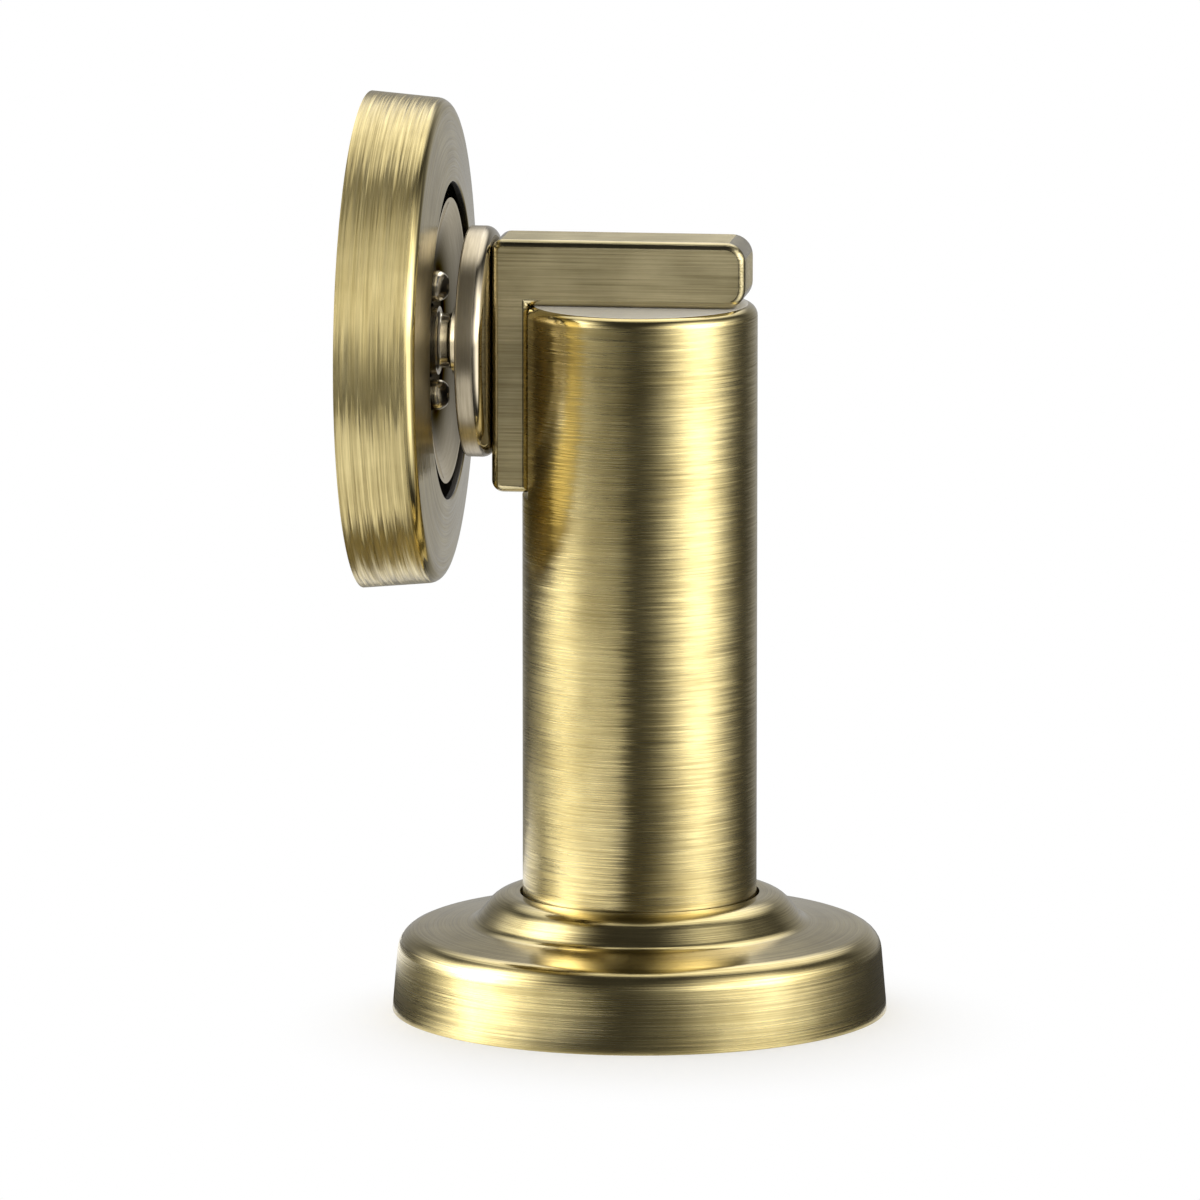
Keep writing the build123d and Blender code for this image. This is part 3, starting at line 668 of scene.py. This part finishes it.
class DOORSTOP_OT_base(bpy.types.Operator):
    """Make the turned base flange with its shoulder and crowned collar"""

    bl_idname = "door_stop.base"
    bl_label = "Base flange"

    def execute(self, context):
        sizes = context.scene.door_stop_sizes
        low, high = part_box("base_flange")
        post_low, post_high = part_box("post_tube")
        lean = math.tan(sizes.base_draft)
        foot = high.x
        socket = post_high.x + sizes.socket_gap
        ledge, hollow = post_low.z, sizes.base_side - sizes.base_skin
        inner = foot - sizes.base_skin
        corners = (
            (low.z, inner, 0),
            (low.z, foot, 0),
            (sizes.base_side, foot - sizes.base_side * lean, sizes.base_shoulder),
            (sizes.base_side + sizes.base_rise, sizes.collar_foot / 2, sizes.collar_sweep),
            (high.z, sizes.collar_top / 2, sizes.collar_crown),
            (high.z, socket, 0),
            (ledge, socket, 0),
            (ledge, socket - sizes.socket_land, 0),
            (hollow, socket - sizes.socket_land, 0),
            (hollow, inner - hollow * lean, 0),
        )
        piece = mesh_object("turned_base", turned(corners, sizes))
        mark_polish(piece, (0, 0, 1), *BASE_POLISH)
        place(piece, finishes(context)["antique brass, upright"], "stop", "antique_brass", "base_flange")
        return {"FINISHED"}


class DOORSTOP_OT_post(bpy.types.Operator):
    """Make the round post with its closed top and the flat milled down one side"""

    bl_idname = "door_stop.post"
    bl_label = "Post"

    def execute(self, context):
        sizes = context.scene.door_stop_sizes
        low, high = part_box("post_tube")
        bracket_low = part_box("head_bracket")[0]
        outer = high.x
        bore = outer - sizes.post_wall
        flat = bracket_low.x + sizes.bracket_side
        seat = bracket_low.z - sizes.seat_relief
        ceiling = high.z - sizes.post_cap
        corners = (
            (low.z, bore, 0),
            (low.z, outer, 0),
            (seat, outer, 0),
            (high.z, outer, sizes.post_rim),
            (high.z, sizes.post_hole / 2, 0),
            (ceiling, sizes.post_hole / 2, 0),
            (ceiling, bore, 0),
        )
        outline = rounded(corners, sizes.arc_steps)
        cut = int(np.argmax(outline[:, 0] == seat)) + 1
        outline = np.insert(outline, cut, outline[cut - 1], axis=0)
        grid = turned_grid(outline, sizes.turn_steps)
        grid[cut:, :, 0] = np.maximum(grid[cut:, :, 0], flat)
        piece = mesh_object("round_post", shell(grid, True))
        mark_polish(piece, (0, 0, 1), *POST_POLISH)
        place(piece, finishes(context)["antique brass, upright"], "stop", "antique_brass", "post_tube")
        # The top face takes the painted highlight finish.
        piece.data.materials.append(finishes(context)["brass end, painted highlight"])
        top = (face_values(piece, "normal")[:, 2] > FLAT) & (face_values(piece, "center")[:, 2] > seat)
        piece.data.polygons.foreach_set("material_index", top.astype(np.int32))
        return {"FINISHED"}


class DOORSTOP_OT_bracket(bpy.types.Operator):
    """Make the square L bracket with its polished edges"""

    bl_idname = "door_stop.bracket"
    bl_label = "Head bracket"

    def execute(self, context):
        sizes = context.scene.door_stop_sizes
        low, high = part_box("head_bracket")
        seat, inner = high.z - sizes.bracket_top, low.x + sizes.bracket_side
        corners = (
            (low.x, high.z, sizes.bracket_corner),
            (low.x, low.z, sizes.bracket_corner),
            (inner, low.z, 0),
            (inner, seat, 0),
            (high.x, seat, sizes.bracket_end),
            (high.x, high.z, sizes.bracket_end),
        )
        outline = rounded(corners, sizes.arc_steps)
        piece = mesh_object("head_bracket_l", rounded_slab(outline, low.y, high.y, sizes))
        close_sides(piece)
        place(piece, finishes(context)["satin brass"], "stop", "antique_brass", "head_bracket")
        return {"FINISHED"}


def rounded_slab(outline, near, far, sizes):
    """Shell of an outline in X and Z carried from near to far in Y, with both its side edges rounded.

    On the rounding the outline is drawn in, along each point's mitre, by the radius times one less the sine
    of the share of a right angle; the two sides are left open.
    """
    edge = sizes.bracket_edge
    before = outline - np.roll(outline, 1, axis=0)
    after = np.roll(outline, -1, axis=0) - outline
    normals = [np.stack((step[:, 1], -step[:, 0]), axis=1) for step in (before, after)]
    first, second = [each / np.linalg.norm(each, axis=1, keepdims=True) for each in normals]
    mitre = (first + second) / (1 + (first * second).sum(axis=1, keepdims=True))
    if (outline[:, 0] * np.roll(outline[:, 1], -1) - np.roll(outline[:, 0], -1) * outline[:, 1]).sum() < 0:
        mitre = -mitre
    bend = np.linspace(0, math.pi / 2, sizes.arc_steps)
    inset = edge * (1 - np.sin(bend))
    depth = edge * (1 - np.cos(bend))
    insets = np.concatenate((inset, inset[::-1]))
    depths = np.concatenate((near + depth, far - depth[::-1]))
    grid = np.empty((len(insets), len(outline), 3))
    grid[..., 0::2] = outline - insets[:, None, None] * mitre
    grid[..., 1] = depths[:, None]
    return shell(grid, False)


def close_sides(piece):
    """Closes the two sides of the slab with one face each and marks its roundings as polished."""
    work = bmesh.new()
    work.from_mesh(piece.data)
    bmesh.ops.holes_fill(work, edges=work.edges, sides=0)
    bmesh.ops.recalc_face_normals(work, faces=work.faces)
    work.to_mesh(piece.data)
    work.free()
    smooth(piece.data)
    mark(piece, "polish", (1 - np.abs(face_values(piece, "normal")).max(axis=1)) / (1 - ROUND))


class DOORSTOP_OT_magnet(bpy.types.Operator):
    """Make the pot magnet: cup, ring magnet and countersunk screw"""

    bl_idname = "door_stop.magnet"
    bl_label = "Pot magnet"

    def execute(self, context):
        sizes, metals = context.scene.door_stop_sizes, finishes(context)
        nickel_cup(sizes, metals["polished nickel"])
        flat_ring_magnet(sizes, metals["ground magnet"])
        countersunk_screw(sizes, metals["polished nickel"])
        return {"FINISHED"}


def screw_face():
    """X of the flat face of the magnet's screw, and the radius of its head."""
    low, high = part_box("magnet_screw")
    return low.x, high.z - magnet_height()


def nickel_cup(sizes, material):
    """Cup turned about the magnet's axis, with a rounded back edge and a countersunk hole in its floor.

    The countersink narrows by as much as it goes back from the screw's face, down to the shank's hole.
    """
    axis = magnet_height()
    low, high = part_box("magnet_cup")
    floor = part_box("ring_magnet")[1].x
    face, head = screw_face()
    outer, shank = high.z - axis, sizes.screw_shank / 2
    inner = outer - sizes.cup_wall
    neck = face + head - shank
    countersink = head + sizes.screw_gap - (floor - face)
    corners = (
        (high.x, shank + sizes.screw_gap, 0),
        (high.x, outer, sizes.cup_back),
        (low.x, outer, sizes.cup_front),
        (low.x, inner, 0),
        (floor, inner, 0),
        (floor, countersink, 0),
        (neck, shank + sizes.screw_gap, 0),
    )
    piece = mesh_object("nickel_cup", turned(corners, sizes, axis))
    mark_polish(piece, (1, 0, 0), *CUP_POLISH)
    place(piece, material, "stop", "polished_nickel", "magnet_cup")


def flat_ring_magnet(sizes, material):
    """Ring turned about the magnet's axis, with a hole that follows the screw's head and cone."""
    axis = magnet_height()
    low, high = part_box("ring_magnet")
    face, head = screw_face()
    outer, hole = high.z - axis, head + sizes.screw_gap
    corners = (
        (high.x, hole - (high.x - face), 0),
        (high.x, outer, 0),
        (low.x, outer, sizes.magnet_chamfer),
        (low.x, hole, 0),
        (face, hole, 0),
    )
    piece = mesh_object("flat_ring_magnet", turned(corners, sizes, axis))
    place(piece, material, "stop", "magnet_grey", "ring_magnet")


def countersunk_screw(sizes, material):
    """Screw turned about the magnet's axis, with a 45 degree cone under its flat head and a cross recess."""
    axis = magnet_height()
    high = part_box("magnet_screw")[1]
    face, head = screw_face()
    shank = sizes.screw_shank / 2
    corners = (
        (face, 0, 0),
        (face, head, 0),
        (face + head - shank, shank, 0),
        (high.x, shank, 0),
        (high.x, 0, 0),
    )
    piece = mesh_object("countersunk_screw", turned(corners, sizes, axis, closed=False))
    carve(piece, cross(sizes, face - sizes.recess_depth, 2 * sizes.recess_depth, (0, axis)))
    place(piece, material, "stop", "polished_nickel", "magnet_screw")


def cross(sizes, start, depth, middle):
    """Shell of a cross-shaped bar along X from start, round a middle in Y and Z."""
    arm, reach = sizes.recess_width / 2, sizes.recess_span / 2
    quarter = np.array(((reach, -arm), (reach, arm), (arm, arm)))
    turns = [np.array(((c, -s), (s, c))) for c, s in ((1, 0), (0, 1), (-1, 0), (0, -1))]
    outline = np.concatenate([quarter @ turn.T for turn in turns]) + np.asarray(middle)
    grid = np.empty((4, len(outline), 3))
    grid[..., 0] = np.array((start, start, start + depth, start + depth))[:, None]
    grid[..., 1:] = outline
    grid[0, :, 1:] = middle
    grid[3, :, 1:] = middle
    return shell(grid, False)


class DOORSTOP_OT_cover(bpy.types.Operator):
    """Make the drafted ring that covers the door plate"""

    bl_idname = "door_stop.cover"
    bl_label = "Plate cover"

    def execute(self, context):
        sizes = context.scene.door_stop_sizes
        low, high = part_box("plate_cover")
        axis = magnet_height()
        outer = high.z - axis
        edge = high.x - sizes.plate_crown
        face = outer - (edge - low.x) * math.tan(sizes.plate_draft)
        mouth = sizes.plate_mouth / 2
        corners = (
            (low.x, outer - sizes.plate_skin, 0),
            (low.x, outer, 0),
            (edge, face, sizes.plate_edge),
            (high.x, mouth, sizes.mouth_edge),
            (high.x - sizes.plate_face, mouth, 0),
            (edge - sizes.plate_face, face - sizes.plate_skin, 0),
        )
        piece = mesh_object("door_plate_ring", turned(corners, sizes, axis))
        mark_polish(piece, (1, 0, 0), *RING_POLISH)
        # The cover's inner faces get painted shade.
        mark_painted_inner_shade(piece, axis)
        brass = finishes(context)["antique brass, door plate"]
        place(piece, brass, "door_plate", "antique_brass", "plate_cover")
        return {"FINISHED"}


class DOORSTOP_OT_strike(bpy.types.Operator):
    """Make the strike: the bowl, its two screws and the sprung stud"""

    bl_idname = "door_stop.strike"
    bl_label = "Strike"

    def execute(self, context):
        sizes, metals = context.scene.door_stop_sizes, finishes(context)
        strike_bowl(sizes, metals["nickel bowl with painted shade"])
        bowl_screws(sizes, metals["bright nickel"])
        sprung_stud(sizes, metals["bright nickel"])
        return {"FINISHED"}


def strike_bowl(sizes, material):
    """Bowl turned about the magnet's axis, with a well and a bore for the stud and two screw holes."""
    axis = magnet_height()
    low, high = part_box("strike_dish")
    lip = high.z - axis
    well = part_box("strike_stud")[1].z - axis + sizes.free_gap
    bore = sizes.strike_stem / 2 + sizes.running_gap
    seat, floor = high.x - sizes.dish_fall, low.x + sizes.dish_floor
    back = (
        (seat, well),
        (floor, well),
        (floor, bore),
        (low.x, bore),
        (low.x, sizes.dish_waist / 2),
        (high.x - sizes.dish_lip, sizes.dish_waist / 2),
        (high.x - sizes.dish_lip, lip),
        (high.x, lip),
    )
    hollow = bowed((high.x, lip - sizes.dish_rim), (seat, sizes.dish_land / 2), sizes)
    grid = turned_grid(np.concatenate((hollow, back)), sizes.turn_steps)
    piece = mesh_object("strike_bowl", shell(along_x(grid, axis), True))
    hole = sizes.dish_screw_shank / 2 + sizes.slip_gap
    room = (
        (high.x, 0, 0),
        (high.x, hole, 0),
        (low.x - sizes.dish_lip, hole, 0),
        (low.x - sizes.dish_lip, 0, 0),
    )
    carve(piece, at_dish_screws(turned(room, sizes, axis, closed=False), sizes))
    place(piece, material, "door_plate", "polished_nickel", "strike_dish")


def bowl_screws(sizes, material):
    """One turned screw with a round head, repeated above and below the axis, with cross recesses."""
    axis = magnet_height()
    low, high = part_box("dish_screws")
    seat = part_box("strike_dish")[1].x - sizes.dish_fall
    head, shank = sizes.dish_screw_head / 2, sizes.dish_screw_shank / 2
    corners = (
        (high.x, 0, 0),
        (high.x, head, sizes.dish_screw_crown),
        (seat, head, 0),
        (seat, shank, 0),
        (low.x, shank, 0),
        (low.x, 0, 0),
    )
    screws = at_dish_screws(turned(corners, sizes, axis, closed=False), sizes)
    piece = mesh_object("bowl_screws", screws)
    recess = cross(sizes, high.x - sizes.recess_depth, 2 * sizes.recess_depth, (0, axis))
    carve(piece, at_dish_screws(recess, sizes))
    place(piece, material, "door_plate", "polished_nickel", "dish_screws")


def sprung_stud(sizes, material):
    """Spool and stem turned about the magnet's axis, with a shoulder for the spring and a clip's groove."""
    axis = magnet_height()
    low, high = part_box("strike_stud")
    dish_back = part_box("strike_dish")[0].x
    clip_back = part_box("stud_clip")[0].x
    head, stem, groove = high.z - axis, sizes.strike_stem / 2, sizes.clip_groove / 2
    front = high.x - sizes.strike_flange
    rear = front - sizes.waist_width
    shoulder = dish_back + sizes.dish_floor + sizes.spring_room
    corners = (
        (high.x, 0, 0),
        (high.x, head - sizes.strike_chamfer, 0),
        (high.x - sizes.strike_chamfer, head, 0),
        (front, head, 0),
        (front, sizes.strike_waist / 2, sizes.waist_round),
        (rear, sizes.strike_waist / 2, sizes.waist_round),
        (rear, head, 0),
        (shoulder, head, 0),
        (shoulder, stem, 0),
        (dish_back, stem, 0),
        (dish_back, groove, 0),
        (clip_back, groove, 0),
        (clip_back, stem, 0),
        (low.x, stem, 0),
        (low.x, 0, 0),
    )
    piece = mesh_object("sprung_stud", turned(corners, sizes, axis, closed=False))
    place(piece, material, "strike", "polished_nickel", "strike_stud")


def bowed(start, end, sizes):
    """Points from start to end that sag below the line by four times the bow times share times the rest."""
    share = np.linspace(0, 1, 3 * sizes.arc_steps)[:, None]
    line = (1 - share) * np.asarray(start) + share * np.asarray(end)
    fall, width = np.subtract(end, start) / math.dist(start, end)
    return line + 4 * sizes.dish_bow * share * (1 - share) * np.array((width, -fall))


def at_dish_screws(source, sizes):
    """A shell repeated at the top and the bottom of the dish screws' circle."""
    reach = sizes.dish_screw_circle / 2
    return together([moved(source, (0, 0, side * reach)) for side in (1, -1)])


class DOORSTOP_OT_fixings(bpy.types.Operator):
    """Give the hidden plates, studs, screws, clip and spring their finishes"""

    bl_idname = "door_stop.fixings"
    bl_label = "Hidden fixings"

    def execute(self, context):
        metals = finishes(context)
        zinc = "floor_plate floor_stud bracket_screw lock_washer door_back_plate stud_clip strike_spring"
        for node in zinc.split():
            finish_node(node, metals["zinc plate"])
        finish_node("post_insert", metals["raw brass"])
        return {"FINISHED"}


def finish_node(node, material):
    """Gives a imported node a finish."""
    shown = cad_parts[node].data.materials
    shown.clear()
    shown.append(material)


# Stage


def white_for_view(tree):
    """1 where a ray from the camera, a reflection or a clear body looks at the stage, otherwise 0."""
    path = put(tree, "ShaderNodeLightPath").outputs
    seen = math_of(tree, "MAXIMUM", path["Is Camera Ray"], path["Is Glossy Ray"])
    return math_of(tree, "MAXIMUM", seen, path["Is Transmission Ray"])


FLOOR_WHITE = (0.99, 0.99, 0.99)
SHADOW_SHARE = 0.7
SHADOW_MIDDLE = (0.003, -0.011, 0)
SHADOW_FULL = 0.021
SHADOW_END = 0.04


def floor_finish():
    """White floor that keeps a part of the stop's soft shadow, close to the base and before it."""
    made = bpy.data.materials.new("white floor")
    made.use_nodes = True
    tree = made.node_tree
    tree.nodes.remove(tree.nodes["Principled BSDF"])
    matt = put(tree, "ShaderNodeBsdfDiffuse", {"Color": (*FLOOR_WHITE, 1)}).outputs[0]
    white = put(tree, "ShaderNodeEmission", {"Color": (1, 1, 1, 1), "Strength": 1.0}).outputs[0]
    where = put(tree, "ShaderNodeTexCoord").outputs["Object"]
    away = number_of(tree, "DISTANCE", where, SHADOW_MIDDLE)
    bare = remap(tree, away, SHADOW_FULL, SHADOW_END, 1 - SHADOW_SHARE, 1.0, True)
    share = math_of(tree, "MULTIPLY", white_for_view(tree), bare)
    mixed = put(tree, "ShaderNodeMixShader", {0: share, 1: matt, 2: white}).outputs[0]
    tree.links.new(mixed, tree.nodes["Material Output"].inputs["Surface"])
    return made


def panel_light(tree, level, turn, hardness):
    """Soft upright light panel: the cosine of the angle from its direction, raised to its hardness."""
    way = (math.sin(turn), -math.cos(turn), 0)
    facing = number_of(tree, "DOT_PRODUCT", level, way)
    return math_of(tree, "POWER", math_of(tree, "MAXIMUM", facing, 0.0), hardness)


def between(tree, value, start, full, fade, end):
    """1 from full to fade, falling smoothly to 0 at start and end."""
    rise = remap(tree, value, start, full, 0.0, 1.0, True)
    fall = remap(tree, value, fade, end, 1.0, 0.0, True)
    return math_of(tree, "MULTIPLY", rise, fall)


LEFT_HARDNESS = 12.0
RIGHT_HARDNESS = 9.0
SKIRT_HARDNESS = 4.5
LEFT_SPAN = (-0.2, 0.0, 0.6, 0.95)
RIGHT_SPAN = (-0.75, -0.3, 0.6, 0.95)
SKIRT_SPAN = (0.02, 0.22, 0.36, 0.62)
CLOTH_SPAN = (0.6, 1.1)
STRIP_SOFT = 0.02
BACK_STRIP = 0.7
TENT_WHITE = (1, 0.99, 0.97)


def side_panels(tree, stage, unit):
    """Tall panels at the left and the right, each with a wide soft skirt above the horizon."""
    parts = put(tree, "ShaderNodeSeparateXYZ", {0: unit}).outputs
    level = put(tree, "ShaderNodeCombineXYZ", {0: parts[0], 1: parts[1]}).outputs[0]
    level = vector_of(tree, "NORMALIZE", level)
    sides = (
        (stage.left_panel, stage.left_light, LEFT_HARDNESS, LEFT_SPAN),
        (stage.right_panel, stage.right_light, RIGHT_HARDNESS, RIGHT_SPAN),
    )
    cores, skirts = [], []
    for turn, light, hardness, span in sides:
        core = math_of(tree, "MULTIPLY", panel_light(tree, level, turn, hardness), light)
        cores.append(math_of(tree, "MULTIPLY", core, between(tree, parts[2], *span)))
        skirts.append(panel_light(tree, level, turn, SKIRT_HARDNESS))
    skirt = math_of(tree, "MULTIPLY", math_of(tree, "ADD", *skirts), between(tree, parts[2], *SKIRT_SPAN))
    skirt = math_of(tree, "MULTIPLY", skirt, stage.skirt_light)
    return math_of(tree, "ADD", math_of(tree, "ADD", *cores), skirt)


def high_panel(tree, stage, unit):
    """Round soft panel high at the back."""
    way = (0, math.cos(stage.high_panel), math.sin(stage.high_panel))
    facing = number_of(tree, "DOT_PRODUCT", unit, way)
    share = remap(tree, facing, math.cos(stage.high_edge), math.cos(stage.high_core), 0.0, 1.0, True)
    return math_of(tree, "MULTIPLY", share, stage.high_light)


def lit_floor(tree, stage, where):
    """Strips of lit floor before and behind the door plate, which its ring mirrors as bands."""
    across, depth, height = put(tree, "ShaderNodeSeparateXYZ", {0: where}).outputs
    soft, inner = STRIP_SOFT, stage.strip_inner
    front, back = stage.strip_front, stage.strip_back
    left, right = stage.strip_left, stage.strip_right
    before = between(tree, depth, -front - soft, -front, -inner, soft - inner)
    behind = between(tree, depth, inner - soft, inner, back, back + soft)
    deep = math_of(tree, "ADD", before, math_of(tree, "MULTIPLY", behind, BACK_STRIP))
    wide = between(tree, across, left - soft, left, right, right + soft)
    low = math_of(tree, "LESS_THAN", height, stage.target_height)
    strips = math_of(tree, "MULTIPLY", math_of(tree, "MULTIPLY", deep, wide), low)
    return math_of(tree, "MULTIPLY", strips, stage.strip_light)


def tent_finish(stage):
    """Light tent: side panels with soft skirts, a high back panel, lit strips of floor and dim cloth."""
    made = bpy.data.materials.new("light tent")
    made.use_nodes = True
    tree = made.node_tree
    tree.nodes.remove(tree.nodes["Principled BSDF"])
    where = put(tree, "ShaderNodeTexCoord").outputs["Object"]
    middle = (0, 0, stage.target_height)
    unit = vector_of(tree, "NORMALIZE", vector_of(tree, "SUBTRACT", where, middle))
    depth = put(tree, "ShaderNodeSeparateXYZ", {0: unit}).outputs[1]
    cloth = remap(tree, depth, *CLOTH_SPAN, stage.front_cloth, stage.back_cloth, True)
    light = math_of(tree, "MAXIMUM", cloth, lit_floor(tree, stage, where))
    light = math_of(tree, "ADD", light, side_panels(tree, stage, unit))
    light = math_of(tree, "ADD", light, high_panel(tree, stage, unit))
    glow = put(tree, "ShaderNodeEmission", {"Color": (*TENT_WHITE, 1), "Strength": light}).outputs[0]
    tree.links.new(glow, tree.nodes["Material Output"].inputs["Surface"])
    return made


class DOORSTOP_OT_stage(bpy.types.Operator):
    """Make the white floor, the light tent, the sky and the camera"""

    bl_idname = "door_stop.stage"
    bl_label = "Stage"

    def execute(self, context):
        stage, sizes = context.scene.door_stop_stage, context.scene.door_stop_sizes
        floor, tent = white_floor(stage), light_tent(stage, sizes)
        context.scene.world = white_room()
        context.scene.camera = aimed_camera(stage)
        context.scene.view_settings.view_transform = "Standard"
        return {"FINISHED"}


def white_floor(stage):
    """Square floor that the stop stands on."""
    places = stage.floor_reach * np.array(((-1, -1, 0), (1, -1, 0), (1, 1, 0), (-1, 1, 0)))
    mesh = bpy.data.meshes.new("floor")
    mesh.from_pydata(places.tolist(), [], ((0, 1, 2, 3),))
    mesh.materials.append(floor_finish())
    floor = bpy.data.objects.new("floor", mesh)
    bpy.context.scene.collection.objects.link(floor)
    return floor


def light_tent(stage, sizes):
    """Turned tent with a floor, a wall and a cone for a roof, which only reflections see."""
    lift = sizes.slip_gap
    corners = (
        (lift, stage.tent_opening, 0),
        (lift, stage.tent_radius, 0),
        (stage.tent_height, stage.tent_radius, 0),
        (stage.tent_height + stage.tent_radius / 2, 0, 0),
    )
    tent = mesh_object("light_tent", turned(corners, sizes, closed=False))
    tent.data.materials.append(tent_finish(stage))
    tent.visible_camera = tent.visible_diffuse = tent.visible_shadow = tent.visible_transmission = False
    return tent


def white_room():
    """World of even white light."""
    world = bpy.data.worlds.new("white room")
    world.use_nodes = True
    sky = world.node_tree.nodes["Background"].inputs
    sky["Color"].default_value = (1, 1, 1, 1)
    sky["Strength"].default_value = 1.0
    return world


VIEW_END = 20


def aimed_camera(stage):
    """Camera set back from the stop at its turn and rise, and aimed beside it by the frame's shift."""
    lens = bpy.data.cameras.new("camera")
    camera = bpy.data.objects.new("camera", lens)
    bpy.context.scene.collection.objects.link(camera)
    turn, rise = stage.camera_turn, stage.camera_rise
    back = Vector((math.sin(turn) * math.cos(rise), -math.cos(turn) * math.cos(rise), math.sin(rise)))
    right = Vector((math.cos(turn), math.sin(turn), 0))
    target = Vector((0, 0, stage.target_height))
    camera.location = target + back * stage.camera_reach
    aim = target + right * stage.frame_right + back.cross(right) * stage.frame_up
    camera.rotation_euler = (aim - camera.location).to_track_quat("-Z", "Y").to_euler()
    lens.lens = lens.sensor_width * stage.camera_reach / stage.frame_width
    lens.clip_end = VIEW_END
    return camera


class DOORSTOP_PT_panel(bpy.types.Panel):
    """Sidebar list of the door stop's steps"""

    bl_idname = "DOORSTOP_PT_panel"
    bl_label = "Magnetic door stop"
    bl_space_type = "VIEW_3D"
    bl_region_type = "UI"
    bl_category = "Door stop"

    def draw(self, context):
        for step in STEPS:
            self.layout.operator(step.bl_idname)


STEPS = (
    DOORSTOP_OT_base,
    DOORSTOP_OT_post,
    DOORSTOP_OT_bracket,
    DOORSTOP_OT_magnet,
    DOORSTOP_OT_cover,
    DOORSTOP_OT_strike,
    DOORSTOP_OT_fixings,
    DOORSTOP_OT_stage,
)
SETTINGS = {
    "door_stop_sizes": DoorStopSizes,
    "door_stop_finish": DoorStopFinish,
    "door_stop_stage": DoorStopStage,
}


def register():
    """Adds the settings, steps and sidebar panel."""
    for name, group in SETTINGS.items():
        bpy.utils.register_class(group)
        setattr(bpy.types.Scene, name, PointerProperty(type=group))
    for step in STEPS:
        bpy.utils.register_class(step)
    bpy.utils.register_class(DOORSTOP_PT_panel)


def unregister():
    """Takes them away again."""
    bpy.utils.unregister_class(DOORSTOP_PT_panel)
    for step in reversed(STEPS):
        bpy.utils.unregister_class(step)
    for name, group in SETTINGS.items():
        delattr(bpy.types.Scene, name)
        bpy.utils.unregister_class(group)


def main():
    """Builds the pieces and the stage in order."""
    register()
    bpy.ops.door_stop.base()
    bpy.ops.door_stop.post()
    bpy.ops.door_stop.bracket()
    bpy.ops.door_stop.magnet()
    bpy.ops.door_stop.cover()
    bpy.ops.door_stop.strike()
    bpy.ops.door_stop.fixings()
    bpy.ops.door_stop.stage()


if __name__ == "__main__":
    main()
